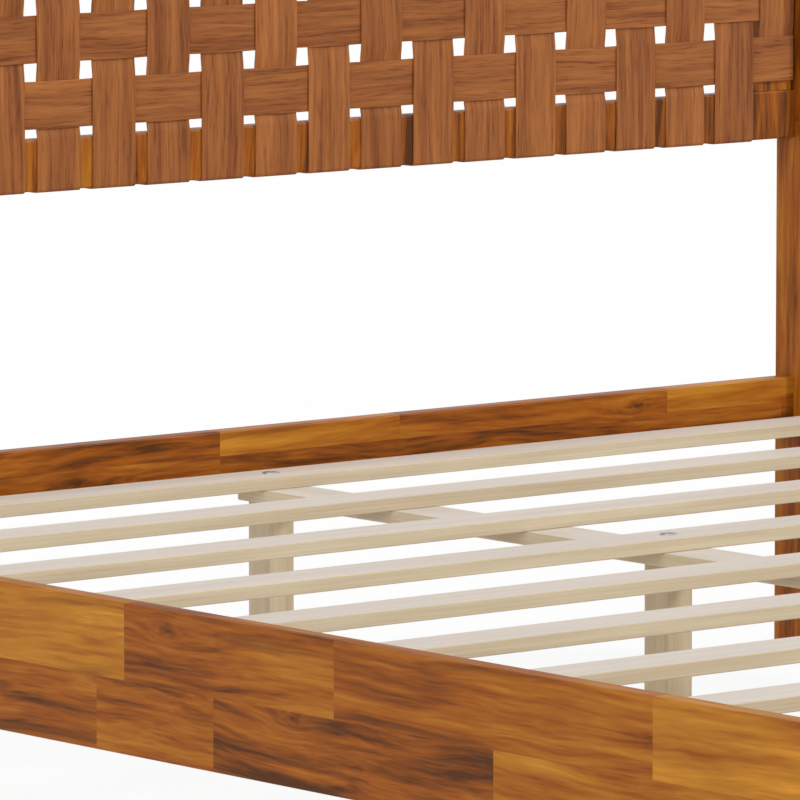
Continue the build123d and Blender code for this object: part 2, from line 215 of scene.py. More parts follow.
class BedColours(bpy.types.PropertyGroup):
    """Colours of the woods, the metal and the floor."""

    acacia_gold: finish_colour("Acacia Sapwood", "The lightest, golden acacia", "#B87A22")
    acacia_brown: finish_colour("Acacia Heartwood", "The orange brown of most acacia blocks", "#96500F")
    acacia_dark: finish_colour("Acacia Dark Streaks", "The darkest streaks and knots of acacia", "#522A08")
    veneer_light: finish_colour("Veneer Light Grain", "The light lines in the woven strips", "#B3703A")
    veneer_dark: finish_colour("Veneer Dark Grain", "The dark lines in the woven strips", "#6E3A1C")
    # The broad faces' colour is partly their own and partly painted sheen
    poplar_face_and_sheen: finish_colour("Poplar Face", "The broad faces of slats and beam", "#DED4C8")
    poplar_edge: finish_colour("Poplar Edge", "The edges of slats and beam, and the legs", "#D4C5A9")
    poplar_line: finish_colour("Poplar Grain", "The darker grain lines of edges and legs", "#B39E7E")
    steel: finish_colour("Zinc", "The zinc coat of bolts, screws and brackets", "#C3C6C8")
    glide: finish_colour("Glide", "The nylon of the feet under posts and legs", "#4A4642")
    floor: finish_colour("Floor", "The pale studio floor", "#F6F5F3")


def add(tree, kind, inputs=None, stops=(), **settings):
    """Adds a node with its settings, and fills its inputs with values or with other nodes' outputs."""
    node = tree.nodes.new(kind)
    for name, value in settings.items():
        setattr(node, name, value)
    for key, value in (inputs or {}).items():
        if isinstance(value, bpy.types.NodeSocket):
            tree.links.new(value, node.inputs[key])
        else:
            node.inputs[key].default_value = value
    if stops:
        elements = node.color_ramp.elements
        for place, colour in stops[2:]:
            elements.new(place)
        for element, (place, colour) in zip(elements, sorted(stops)):
            element.position = place
            element.color = (*colour, 1.0)
    return node


def new_material(name):
    """An empty node material, or None where it has been made before."""
    if name in bpy.data.materials:
        return None
    material = bpy.data.materials.new(name)
    material.use_nodes = True
    material.node_tree.nodes.clear()
    return material


def stretched_noise(tree, place, seed, scale, detail=2.0, roughness=0.5):
    """Noise drawn out along the grain: scale is features per metre along, across and through the board."""
    drawn = add(tree, "ShaderNodeVectorMath", {0: place, 1: scale}, operation="MULTIPLY").outputs[0]
    inputs = {"Vector": drawn, "Scale": 1.0, "Detail": detail, "Roughness": roughness}
    if seed is not None:
        inputs["W"] = seed
    dimensions = "3D" if seed is None else "4D"
    return add(tree, "ShaderNodeTexNoise", inputs, noise_dimensions=dimensions).outputs["Fac"]


def centred(tree, value, amount):
    """A 0 to 1 pattern as a swing of that amount about nothing."""
    inputs = {0: value, 1: amount, 2: -amount / 2}
    return add(tree, "ShaderNodeMath", inputs, operation="MULTIPLY_ADD").outputs[0]


def layered(tree, level, *patterns):
    """A level with patterns laid over it, each given with the amount that it swings by."""
    for pattern, amount in patterns:
        swing = centred(tree, pattern, amount)
        level = add(tree, "ShaderNodeMath", {0: level, 1: swing}, operation="ADD").outputs[0]
    return level


def wander(tree, place, seed, pace, amount):
    """How far the grain strays at each place: pace is bends per metre, amount the reach in metres."""
    drawn = add(tree, "ShaderNodeVectorMath", {0: place, 1: pace}, operation="MULTIPLY").outputs[0]
    inputs = {"Vector": drawn, "W": seed, "Scale": 1.0, "Detail": 2.0}
    noise = add(tree, "ShaderNodeTexNoise", inputs, noise_dimensions="4D").outputs["Color"]
    swing = add(tree, "ShaderNodeVectorMath", {0: noise, 1: (0.5, 0.5, 0.5)}, operation="SUBTRACT").outputs[0]
    return add(tree, "ShaderNodeVectorMath", {0: swing, 1: amount}, operation="MULTIPLY").outputs[0]


def seen_directly(tree):
    """1 for what the camera sees, straight or in metal or glass, and 0 for light that falls on things."""
    rays = add(tree, "ShaderNodeLightPath").outputs
    seen = rays["Is Camera Ray"]
    for name in ("Is Glossy Ray", "Is Transmission Ray"):
        seen = add(tree, "ShaderNodeMath", {0: seen, 1: rays[name]}, operation="MAXIMUM").outputs[0]
    return seen


def acacia(colours):
    """Acacia, planed, sanded and oiled: golden to red brown, softly streaked, with a low sheen.

    Each block has its own tone, and its grain leans its own way and flows round its knot, if any.
    """
    material = new_material("oiled_acacia")
    if material is None:
        return bpy.data.materials["oiled_acacia"]
    tree = material.node_tree
    grain = add(tree, "ShaderNodeAttribute", attribute_name="grain").outputs["Vector"]
    seed = add(tree, "ShaderNodeAttribute", attribute_name="seed").outputs["Fac"]
    tone = add(tree, "ShaderNodeAttribute", attribute_name="tone").outputs["Fac"]
    knot = add(tree, "ShaderNodeAttribute", attribute_name="knot").outputs["Vector"]

    # A knot about 9 mm across and 25 mm long pushes the grain aside for 45 mm along it
    off = add(tree, "ShaderNodeVectorMath", {0: grain, 1: knot}, operation="SUBTRACT").outputs[0]
    near = add(tree, "ShaderNodeVectorMath", {0: off, 1: (22.0, 60.0, 4.0)}, operation="MULTIPLY").outputs[0]
    reach = add(tree, "ShaderNodeVectorMath", {0: near}, operation="LENGTH").outputs["Value"]
    square = add(tree, "ShaderNodeMath", {0: reach, 1: 2.0}, operation="POWER").outputs[0]
    above = add(tree, "ShaderNodeMath", {0: square, 1: 1.0}, operation="ADD").outputs[0]
    spread = add(tree, "ShaderNodeMath", {0: -0.7, 1: above}, operation="DIVIDE").outputs[0]
    shift = add(tree, "ShaderNodeVectorMath", {0: off, "Scale": spread}, operation="SCALE").outputs[0]
    aside = add(tree, "ShaderNodeVectorMath", {0: shift, 1: (0.0, 1.0, 1.0)}, operation="MULTIPLY").outputs[0]
    flow = add(tree, "ShaderNodeVectorMath", {0: grain, 1: aside}, operation="ADD").outputs[0]

    # The grain leans up to 2 degrees either way, and wanders about 4 mm over a quarter of a metre
    chance = add(tree, "ShaderNodeMath", {0: seed}, operation="FRACT").outputs[0]
    lean = centred(tree, chance, 0.06)
    along = add(tree, "ShaderNodeSeparateXYZ", {0: flow}).outputs["X"]
    rise = add(tree, "ShaderNodeMath", {0: along, 1: lean}, operation="MULTIPLY").outputs[0]
    leaning = add(tree, "ShaderNodeCombineXYZ", {"Y": rise, "Z": rise}).outputs[0]
    sway = wander(tree, flow, seed, (4.0, 12.0, 12.0), (0.0, 0.035, 0.035))
    path = add(tree, "ShaderNodeVectorMath", {0: flow, 1: leaning}, operation="ADD").outputs[0]
    path = add(tree, "ShaderNodeVectorMath", {0: path, 1: sway}, operation="ADD").outputs[0]

    # Growth rings cut lengthwise: bands 25 mm wide, streaks 7 mm wide, and pores drawn 2 mm wide,
    # coarser than they are, so that they show
    bands = stretched_noise(tree, path, seed, (2.6, 38.0, 38.0))
    streaks = stretched_noise(tree, path, seed, (7.0, 140.0, 140.0))
    pores = stretched_noise(tree, path, seed, (30.0, 420.0, 420.0), detail=1.0)
    level = layered(tree, tone, (bands, 1.5), (streaks, 1.2), (pores, 0.45))
    level = add(tree, "ShaderNodeMath", {0: level, 1: 0.75}, operation="MULTIPLY").outputs[0]
    palest = [1.35 * channel for channel in colours.acacia_gold]
    colour = add(
        tree,
        "ShaderNodeValToRGB",
        {"Fac": level},
        stops=(
            (0.0, colours.acacia_dark),
            (1.0, palest),
            (0.31, colours.acacia_brown),
            (0.75, colours.acacia_gold),
        ),
    ).outputs["Color"]

    # Heartwood streaks about 10 mm wide, and the knot's dark, ragged core
    heart = stretched_noise(tree, path, seed, (2.4, 62.0, 62.0))
    heart_inputs = {"Value": heart, "From Min": 0.6, "From Max": 0.78, "To Max": 0.8}
    heart = add(tree, "ShaderNodeMapRange", heart_inputs).outputs["Result"]
    rags = stretched_noise(tree, grain, seed, (90.0, 220.0, 220.0), roughness=0.6)
    ragged = layered(tree, reach, (rags, 0.9))
    core_inputs = {"Value": ragged, "From Min": 0.5, "From Max": 0.05, "To Max": 0.9}
    core = add(tree, "ShaderNodeMapRange", core_inputs).outputs["Result"]
    dark = add(tree, "ShaderNodeMath", {0: heart, 1: core}, operation="MAXIMUM").outputs[0]
    colour = add(
        tree,
        "ShaderNodeMix",
        {0: dark, 6: colour, 7: (*colours.acacia_dark, 1.0)},
        data_type="RGBA",
        blend_type="MIX",
    ).outputs[2]

    sheen_inputs = {"Value": streaks, "To Min": 0.5, "To Max": 0.38}
    sheen = add(tree, "ShaderNodeMapRange", sheen_inputs).outputs["Result"]
    bump = add(tree, "ShaderNodeBump", {"Height": pores, "Strength": 0.2, "Distance": 0.0003}).outputs[0]
    inputs = {
        "Base Color": colour,
        "Roughness": sheen,
        "IOR": 1.45,
        "Specular IOR Level": 0.1,
        "Coat Weight": 0.14,
        "Coat Roughness": 0.35,
        "Normal": bump,
    }
    shader = add(tree, "ShaderNodeBsdfPrincipled", inputs).outputs[0]
    add(tree, "ShaderNodeOutputMaterial", {"Surface": shader})
    return material


def veneer(colours):
    """Sliced wood veneer, sanded and stained, nearly matt: soft straight lines and short dark pores."""
    material = new_material("woven_veneer")
    if material is None:
        return bpy.data.materials["woven_veneer"]
    tree = material.node_tree
    grain = add(tree, "ShaderNodeAttribute", attribute_name="grain").outputs["Vector"]
    seed = add(tree, "ShaderNodeAttribute", attribute_name="seed").outputs["Fac"]
    tone = add(tree, "ShaderNodeAttribute", attribute_name="tone").outputs["Fac"]

    # The lines swing about 3 mm across over a third of a metre
    sway = wander(tree, grain, seed, (3.0, 9.0, 9.0), (0.0, 0.025, 0.0))
    path = add(tree, "ShaderNodeVectorMath", {0: grain, 1: sway}, operation="ADD").outputs[0]

    # Bands 20 mm wide, lines 5 mm wide, and pores 30 mm long drawn 1.5 mm wide
    bands = stretched_noise(tree, path, seed, (2.0, 50.0, 20.0))
    streaks = stretched_noise(tree, path, seed, (7.0, 210.0, 60.0))
    pores = stretched_noise(tree, path, seed, (32.0, 620.0, 200.0), detail=1.0)
    level = layered(tree, tone, (bands, 1.0), (streaks, 1.2))
    dashes = {"Value": pores, "From Min": 0.52, "From Max": 0.75, "To Max": 0.4}
    dashes = add(tree, "ShaderNodeMapRange", dashes).outputs["Result"]
    level = add(tree, "ShaderNodeMath", {0: level, 1: dashes}, operation="SUBTRACT").outputs[0]
    colour = add(
        tree,
        "ShaderNodeValToRGB",
        {"Fac": level},
        stops=((0.0, colours.veneer_dark), (1.0, colours.veneer_light)),
    ).outputs["Color"]
    bump = add(tree, "ShaderNodeBump", {"Height": pores, "Strength": 0.25, "Distance": 0.0002}).outputs[0]
    inputs = {
        "Base Color": colour,
        "Roughness": 0.62,
        "IOR": 1.45,
        "Specular IOR Level": 0.2,
        "Normal": bump,
    }
    shader = add(tree, "ShaderNodeBsdfPrincipled", inputs).outputs[0]
    add(tree, "ShaderNodeOutputMaterial", {"Surface": shader})
    return material


def poplar(colours, axis):
    """Laminated poplar, planed and unfinished: pale faces, and edges that show the veneers' lines.

    axis is the one that its grain follows. The broad faces' paler colour is partly their own and partly
    painted sheen.
    """
    name = f"laminated_poplar_{'xyz'[axis]}"
    material = new_material(name)
    if material is None:
        return bpy.data.materials[name]
    tree = material.node_tree
    place = add(tree, "ShaderNodeTexCoord").outputs["Object"]

    # Bands 18 mm wide and lines 3 mm wide, drawn out along the grain
    slow = [55.0, 55.0, 55.0]
    slow[axis] = 1.8
    fine = [300.0, 300.0, 300.0]
    fine[axis] = 9.0
    bands = stretched_noise(tree, place, None, slow, detail=3.0, roughness=0.55)
    lines = stretched_noise(tree, place, None, fine, roughness=0.6)
    tone = LEG_TONE if axis == ALONG_Z else SLAT_TONE
    level = layered(tree, tone, (bands, 1.6), (lines, 0.5))

    # The veneers' edges: paler and darker ones take turns
    through = "X" if axis == ALONG_Z else "Z"
    depth = add(tree, "ShaderNodeSeparateXYZ", {0: place}).outputs[through]
    per_metre = 1.0 / VENEER_THICKNESS
    layers = add(tree, "ShaderNodeMath", {0: depth, 1: per_metre}, operation="MULTIPLY").outputs[0]
    sheet = add(tree, "ShaderNodeMath", {0: layers, 1: 1.0}, operation="PINGPONG").outputs[0]
    ply = layered(tree, level, (sheet, -0.14))
    edge = add(
        tree,
        "ShaderNodeValToRGB",
        {"Fac": ply},
        stops=((0.0, colours.poplar_line), (1.0, colours.poplar_edge)),
    ).outputs["Color"]
    face_line = [0.82 * channel for channel in colours.poplar_face_and_sheen]
    face = add(
        tree,
        "ShaderNodeValToRGB",
        {"Fac": level},
        stops=((0.0, face_line), (1.0, colours.poplar_face_and_sheen)),
    ).outputs["Color"]
    # Faces that point up or down take the paler face colour: partly the face veneer's own, partly painted
    # sheen of light grazing the tops
    normal = add(tree, "ShaderNodeNewGeometry").outputs["Normal"]
    upward = add(tree, "ShaderNodeSeparateXYZ", {0: normal}).outputs["Z"]
    broad_face_and_sheen = add(tree, "ShaderNodeMath", {0: upward}, operation="ABSOLUTE").outputs[0]
    broad_face_and_sheen = add(tree, "ShaderNodeMath", {0: broad_face_and_sheen, 1: 0.8}, operation="GREATER_THAN").outputs[0]
    colour = add(
        tree,
        "ShaderNodeMix",
        {0: broad_face_and_sheen, 6: edge, 7: face},
        data_type="RGBA",
        blend_type="MIX",
    ).outputs[2]
    bump = add(tree, "ShaderNodeBump", {"Height": lines, "Strength": 0.2, "Distance": 0.0002}).outputs[0]
    inputs = {"Base Color": colour, "Roughness": 0.5, "IOR": 1.45, "Normal": bump}
    shader = add(tree, "ShaderNodeBsdfPrincipled", inputs).outputs[0]
    add(tree, "ShaderNodeOutputMaterial", {"Surface": shader})
    return material


def zinc_steel(colours):
    """Steel, pressed and zinc plated: a silver grey with faint blotches from the plating bath."""
    material = new_material("zinc_plated_steel")
    if material is None:
        return bpy.data.materials["zinc_plated_steel"]
    tree = material.node_tree
    place = add(tree, "ShaderNodeTexCoord").outputs["Object"]
    # Blotches about 5 mm wide
    blotches = stretched_noise(tree, place, None, (220.0, 220.0, 220.0), detail=3.0, roughness=0.6)
    roughness = add(tree, "ShaderNodeMapRange", {"Value": blotches, "To Min": 0.25, "To Max": 0.45})
    shade = [0.8 * channel for channel in colours.steel]
    colour = add(
        tree,
        "ShaderNodeValToRGB",
        {"Fac": blotches},
        stops=((0.3, shade), (0.7, colours.steel)),
    ).outputs["Color"]
    inputs = {"Base Color": colour, "Metallic": 1.0, "Roughness": roughness.outputs["Result"]}
    shader = add(tree, "ShaderNodeBsdfPrincipled", inputs).outputs[0]
    add(tree, "ShaderNodeOutputMaterial", {"Surface": shader})
    return material


def nylon(colours):
    """Nylon, moulded: dark and waxy, with the fine pitting of a worn mould."""
    material = new_material("moulded_nylon")
    if material is None:
        return bpy.data.materials["moulded_nylon"]
    tree = material.node_tree
    place = add(tree, "ShaderNodeTexCoord").outputs["Object"]
    # Pits drawn 1 mm wide, coarser than they are, so that they show
    pits = stretched_noise(tree, place, None, (900.0, 900.0, 900.0))
    lighter = [1.25 * channel for channel in colours.glide]
    colour = add(
        tree,
        "ShaderNodeValToRGB",
        {"Fac": pits},
        stops=((0.3, colours.glide), (0.8, lighter)),
    ).outputs["Color"]
    bump = add(tree, "ShaderNodeBump", {"Height": pits, "Strength": 0.3, "Distance": 0.0002}).outputs[0]
    inputs = {"Base Color": colour, "Roughness": 0.5, "IOR": 1.53, "Normal": bump}
    shader = add(tree, "ShaderNodeBsdfPrincipled", inputs).outputs[0]
    add(tree, "ShaderNodeOutputMaterial", {"Surface": shader})
    return material


def studio_floor(colours):
    """Painted studio floor: matt and pale. The camera sees it nearly white, with the bed's soft shadow."""
    material = new_material("painted_floor")
    if material is None:
        return bpy.data.materials["painted_floor"]
    tree = material.node_tree
    colour = (*colours.floor, 1.0)
    paint = add(tree, "ShaderNodeBsdfDiffuse", {"Color": colour}).outputs[0]
    white = add(tree, "ShaderNodeEmission", {"Color": (1.0, 1.0, 1.0, 1.0), "Strength": 1.0}).outputs[0]
    seen = add(tree, "ShaderNodeMixShader", {0: FLOOR_PAINT_SEEN, 1: white, 2: paint}).outputs[0]
    mixed = add(tree, "ShaderNodeMixShader", {0: seen_directly(tree), 1: paint, 2: seen}).outputs[0]
    add(tree, "ShaderNodeOutputMaterial", {"Surface": mixed})
    return material


def add_piece(mesh, material, slot, *nodes):
    """Puts a finished mesh in the scene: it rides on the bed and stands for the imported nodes."""
    piece = bpy.data.objects.new(mesh.name, mesh)
    bpy.context.scene.collection.objects.link(piece)
    mesh.materials.append(material)
    mesh.shade_smooth()
    mesh.set_sharp_from_angle(angle=CREASE_ANGLE)
    piece.modifiers.new("Even Normals", "WEIGHTED_NORMAL").keep_sharp = True
    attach(piece, "root")
    if nodes:
        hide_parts(*nodes)


def finish_node(name, material):
    """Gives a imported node, whose shape is right, its material."""
    for material_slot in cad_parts[name].material_slots:
        material_slot.material = material


def new_mesh(name, vertices, faces):
    """A mesh with its faces turned outwards."""
    mesh = bpy.data.meshes.new(name)
    mesh.from_pydata(vertices, [], faces)
    work = bmesh.new()
    work.from_mesh(mesh)
    bmesh.ops.recalc_face_normals(work, faces=work.faces)
    work.to_mesh(mesh)
    work.free()
    return mesh


def joining_face(first, corner, count):
    """The face from one side of a ring of points to the same side of the next ring."""
    following = (corner + 1) % count
    return (first + corner, first + following, first + count + following, first + count + corner)


def set_attribute(mesh, name, kind, domain, values):
    """Stores numbers or vectors on a mesh for its material to read."""
    field = "vector" if kind == "FLOAT_VECTOR" else "value"
    flat = [number for value in values for number in value] if field == "vector" else values
    mesh.attributes.new(name, kind, domain).data.foreach_set(field, flat)


def rounded_section(low, high, radius, cuts, steps):
    """Points round a rectangle with rounded corners, with more at each cut on its two long sides."""
    points = []
    corners = (
        (high[0] - radius, high[1] - radius),
        (low[0] + radius, high[1] - radius),
        (low[0] + radius, low[1] + radius),
        (high[0] - radius, low[1] + radius),
    )
    for quarter, (across, through) in enumerate(corners):
        for step in range(steps + 1):
            angle = math.pi / 2 * (quarter + step / steps)
            points.append((across + radius * math.cos(angle), through + radius * math.sin(angle)))
        if quarter == 0:
            points += [(cut, high[1]) for cut in sorted(cuts, reverse=True)]
        if quarter == 2:
            points += [(cut, low[1]) for cut in sorted(cuts)]
    return points


# A block of a laminated board: where it starts and ends, how golden it is, and its knot, if any,
# as (distance along the board, distance across it)
Block = namedtuple("Block", "start end tone seed knot")
# A knot so far from the bed that it doesn't show
NO_KNOT = (90.0, 90.0)


def blocks_between(rng, joints, tones, knots=()):
    """Blocks that meet end to end at the joints."""
    blocks = []
    for start, end, tone in zip(joints, joints[1:], tones):
        inside = [knot for knot in knots if start <= knot[0] < end]
        blocks.append(Block(start, end, tone, rng.uniform(0.0, FIGURES), inside[0] if inside else NO_KNOT))
    return blocks


def chosen_blocks(rng, sizes, start, end, low, high):
    """One row of blocks with joints, tones and knots as they come from the wood yard."""
    joints = [start]
    reach = start + rng.uniform(*FIRST_BLOCK_SHARES) * sizes.block_longest
    while reach < end - sizes.block_shortest / 2:
        joints.append(reach)
        reach += rng.uniform(sizes.block_shortest, sizes.block_longest)
    joints.append(end)
    tones = [rng.choice(ACACIA_TONES) for joint in joints[1:]]
    knots = []
    for first, last in zip(joints, joints[1:]):
        if rng.random() < KNOT_CHANCE:
            knots.append((rng.uniform(first, last), rng.uniform(low, high)))
    return blocks_between(rng, joints, tones, knots)


def board(name, low, high, along, wide, radius, rows, end_ease=0.0, top_only=False, turned=False):
    """A laminated board between two corners, as one closed skin.

    along and wide are the axes that its length and its width follow. rows lists, from low to high,
    the share of the width where each row of blocks ends, and its blocks. A turned board's figure
    runs across it.
    """
    through = 3 - along - wide
    span = high[wide] - low[wide]
    cuts = [low[wide] + share * span for share, blocks in rows[:-1]]
    limits = [low[wide] - 1.0, *cuts, high[wide] + 1.0]
    corner_steps = 4
    section_low = (low[wide], low[through])
    section_high = (high[wide], high[through])

    edges = [edge for share, blocks in rows for block in blocks for edge in (block.start, block.end)]
    stations = sorted(set(edges))
    rings = [(distance, 0.0) for distance in stations]
    if end_ease:
        eased = []
        for step in range(1, corner_steps + 1):
            angle = math.pi / 2 * step / corner_steps
            eased.append((end_ease * (1 - math.sin(angle)), end_ease * (1 - math.cos(angle))))
        head = [(stations[-1] - rise, inset) for rise, inset in eased]
        foot = [(stations[0] + rise, inset) for rise, inset in reversed(eased)]
        start = [(stations[0], 0.0)] if top_only else foot + [(stations[0] + end_ease, 0.0)]
        rings = start + [(distance, 0.0) for distance in stations[1:-1]]
        rings += [(stations[-1] - end_ease, 0.0)] + head

    vertices, grain = [], []
    for distance, inset in rings:
        ring_low = [edge + inset for edge in section_low]
        ring_high = [edge - inset for edge in section_high]
        section = rounded_section(ring_low, ring_high, radius - inset, cuts, corner_steps)
        for across, depth in section:
            point = [0.0, 0.0, 0.0]
            point[along], point[wide], point[through] = distance, across, depth
            vertices.append(point)
            grain.append((across, distance, depth) if turned else (distance, across, depth))
    count = len(section)

    def row_of(across):
        return sum(across > cut for cut in cuts)

    def block_of(row, distance):
        blocks = rows[row][1]
        return next((block for block in blocks if block.start <= distance <= block.end), blocks[-1])

    faces, face_blocks = [], []
    for ring, (here, ahead) in enumerate(zip(rings, rings[1:])):
        for corner in range(count):
            row = row_of((section[corner][0] + section[(corner + 1) % count][0]) / 2)
            faces.append(joining_face(ring * count, corner, count))
            face_blocks.append(block_of(row, (here[0] + ahead[0]) / 2))
    slack = 1e-6
    for ring in (0, len(rings) - 1):
        for row, (lowest, highest) in enumerate(zip(limits, limits[1:])):
            within = [lowest - slack <= across <= highest + slack for across, depth in section]
            faces.append([ring * count + corner for corner in range(count) if within[corner]])
            face_blocks.append(block_of(row, rings[ring][0]))

    mesh = new_mesh(name, vertices, faces)
    middle = (low[through] + high[through]) / 2
    set_attribute(mesh, "grain", "FLOAT_VECTOR", "POINT", grain)
    set_attribute(mesh, "seed", "FLOAT", "FACE", [block.seed for block in face_blocks])
    set_attribute(mesh, "tone", "FLOAT", "FACE", [block.tone for block in face_blocks])
    set_attribute(mesh, "knot", "FLOAT_VECTOR", "FACE", [(*block.knot, middle) for block in face_blocks])
    return mesh


def wood_yard(name):
    """A source of chances of its own for each board, so that one board's blocks don't change another's."""
    return random.Random(f"{bpy.context.scene.bed_sizes.seed} {name}")


def build_board(name, low, high, along, wide, rows=None, row_count=2, ease=None, **ends):
    """Builds a board, chooses its blocks where none are given, and puts it in its node's place."""
    sizes = bpy.context.scene.bed_sizes
    rng = wood_yard(name)
    if rows is None:
        rows = []
        for row in range(row_count):
            share = (row + 1) / row_count
            row_low = low[wide] + (share - 1 / row_count) * (high[wide] - low[wide])
            row_high = low[wide] + share * (high[wide] - low[wide])
            rows.append((share, chosen_blocks(rng, sizes, low[along], high[along], row_low, row_high)))
    mesh = board(f"{name}_boards", low, high, along, wide, ease or sizes.board_ease, rows, **ends)
    add_piece(mesh, acacia(bpy.context.scene.bed_colours), "acacia", name)


class BED_OT_posts(bpy.types.Operator):
    """Build the four posts"""

    bl_idname = "bed.posts"
    bl_label = "Posts"
    bl_options = {"REGISTER", "UNDO"}

    def execute(self, context):
        sizes = context.scene.bed_sizes
        for end in ("head", "foot"):
            for side in ("right", "left"):
                name = f"{end}_post_{side}"
                low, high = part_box(name)
                rows = None
                if name == "head_post_right":
                    rng = wood_yard(name)
                    # The inner row's top block, from 0.70 m up beside the headboard, has tone 0: painted
                    # shade of the corner between post and panel
                    inner_row_with_painted_shade = blocks_between(rng, [low.z, 0.30, 0.70, high.z], (0.4, 0.44, 0.0))
                    outer = blocks_between(rng, [low.z, 0.46, 0.95, high.z], (0.5, 0.3, 0.45))
                    rows = [(0.5, inner_row_with_painted_shade), (1.0, outer)]
                ease = sizes.post_top_ease
                build_board(name, low, high, ALONG_Z, ALONG_X, rows, end_ease=ease, top_only=True)
        return {"FINISHED"}


class BED_OT_side_rails(bpy.types.Operator):
    """Build the two side rails"""

    bl_idname = "bed.side_rails"
    bl_label = "Side Rails"
    bl_options = {"REGISTER", "UNDO"}

    def execute(self, context):
        low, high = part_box("side_rail_left")
        rng = wood_yard("side_rail_left")
        # The joints, tones and knots are where the photograph shows them
        lower = [low.y, -0.589, -0.139, 0.060, 0.590, high.y]
        upper = [low.y, -0.829, -0.337, 0.012, 0.500, high.y]
        lower_tones = (0.62, 0.3, 0.47, 0.38, 0.5)
        upper_tones = (0.78, 0.5, 0.5, 0.78, 0.5)
        lower_row = blocks_between(rng, lower, lower_tones, [(-0.270, 0.271), (-0.422, 0.235)])
        upper_row = blocks_between(rng, upper, upper_tones, [(-0.064, 0.338)])
        rows = [(0.49, lower_row), (1.0, upper_row)]
        build_board("side_rail_left", low, high, ALONG_Y, ALONG_Z, rows)
        low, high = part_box("side_rail_right")
        build_board("side_rail_right", low, high, ALONG_Y, ALONG_Z)
        return {"FINISHED"}


class BED_OT_cross_rails(bpy.types.Operator):
    """Build the head rail and the foot rail"""

    bl_idname = "bed.cross_rails"
    bl_label = "Head and Foot Rails"
    bl_options = {"REGISTER", "UNDO"}

    def execute(self, context):
        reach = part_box("head_post_right")[0].x
        low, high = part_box("head_rail")
        low.x, high.x = -reach, reach
        rng = wood_yard("head_rail")
        # The joints, tones and knots are where the photograph shows them
        lower = [-reach, -0.41, -0.041, 0.877, reach]
        upper = [-reach, -0.62, -0.041, 0.242, 0.682, reach]
        lower_row = blocks_between(rng, lower, (0.42, 0.34, 0.34, 0.45), [(-0.258, 0.325)])
        upper_row = blocks_between(rng, upper, (0.36, 0.32, 0.6, 0.38, 0.68), [(0.63, 0.352)])
        build_board("head_rail", low, high, ALONG_X, ALONG_Z, rows=[(0.6, lower_row), (1.0, upper_row)])
        low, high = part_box("foot_rail")
        low.x, high.x = -reach, reach
        build_board("foot_rail", low, high, ALONG_X, ALONG_Z)
        return {"FINISHED"}


class BED_OT_panel_frame(bpy.types.Operator):
    """Build the frame that the headboard is woven on"""

    bl_idname = "bed.panel_frame"
    bl_label = "Headboard Frame"
    bl_options = {"REGISTER", "UNDO"}

    def execute(self, context):
        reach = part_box("head_post_right")[0].x
        ease = PANEL_RAIL_EASE * MM
        for name in ("headboard_lower_rail", "headboard_upper_rail"):
            low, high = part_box(name)
            low.x, high.x = -reach, reach
            rng = wood_yard(name)
            # Low tones: partly the rails' own golden brown, partly painted shade from the strips woven in
            # front of them
            row = blocks_between(rng, [low.x, -0.36, 0.24, high.x], (0.36, 0.4, 0.22))
            build_board(name, low, high, ALONG_X, ALONG_Z, [(1.0, row)], ease=ease, turned=True)
        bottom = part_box("headboard_lower_rail")[1].z
        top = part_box("headboard_upper_rail")[0].z
        for name in ("headboard_stile_right", "headboard_stile_left"):
            low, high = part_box(name)
            low.z, high.z = bottom, top
            build_board(name, low, high, ALONG_Z, ALONG_X, row_count=1, ease=ease)
        return {"FINISHED"}


def upright_span(index):
    """Left and right edge of an upright strip, in millimetres; the first and last are trimmed."""
    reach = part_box("head_post_right")[0].x / MM
    edge = reach - END_UPRIGHT_INSET
    left = -reach + FIRST_UPRIGHT_INSET + index * UPRIGHT_PITCH
    right = left + UPRIGHT_WIDTH
    if index == 0:
        return -edge, right
    if index == UPRIGHT_COUNT - 1:
        return left - UPRIGHT_PITCH + UPRIGHT_WIDTH + LAST_UPRIGHT_GAP, edge
    return left, right


def crossing_span(row):
    """Lower and upper edge of a level strip, in millimetres, counted from the bottom."""
    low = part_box("headboard_lower_rail")[1].z / MM + CROSSING_CLEARANCE + row * CROSSING_PITCH
    return low, low + CROSSING_WIDTH


def upright_in_front(index, row):
    """Plain weave: whether an upright strip passes over a level one."""
    return (index + row) % 2 == 0


def bend(start, end):
    """Points of a smooth step from one (distance, layer) to another, as (distance, depth)."""
    steps = 8
    points = []
    for step in range(steps + 1):
        share = step / steps
        ease = (1 - math.cos(math.pi * share)) / 2
        depth = LAYER_STEP * (start[1] + (end[1] - start[1]) * ease)
        points.append((start[0] + share * (end[0] - start[0]), depth))
    return points


def woven_run(spans, behind, start, end, bow):
    """Middle line of a strip's front run, in millimetres, as (distance, depth behind the front layer).

    It eases from layer to layer in the gaps between its crossings and bows out over each crossing.
    start and end are (distance, behind) for its two ends.
    """
    bow_steps = 6
    closest = 0.05
    points = [(start[0], start[1] * LAYER_STEP)]
    reach, layer = start
    for (low, high), next_layer in zip(spans, behind):
        if low > reach:
            if next_layer != layer:
                points += bend((reach, layer), (low, next_layer))
            layer = next_layer
        first = max(low, start[0])
        last = min(high, end[0])
        for step in range(1, bow_steps):
            share = step / bow_steps
            swell = 0.0 if layer else bow * math.sin(math.pi * share) ** 2
            points.append((first + share * (last - first), LAYER_STEP * layer - swell))
        reach = high
    if end[0] > reach:
        points += bend((reach, layer), end)
    else:
        points.append((end[0], end[1] * LAYER_STEP))
    unique = [points[0]]
    for point in points[1:]:
        if point[0] > unique[-1][0] + closest:
            unique.append(point)
    return unique


def quarter_turn(centre, radius, start_angle, turn):
    """Points on a quarter circle, as (distance, depth)."""
    steps = 6
    points = []
    for step in range(steps + 1):
        angle = math.radians(start_angle + turn * step / steps)
        points.append((centre[0] + radius * math.cos(angle), centre[1] + radius * math.sin(angle)))
    return points


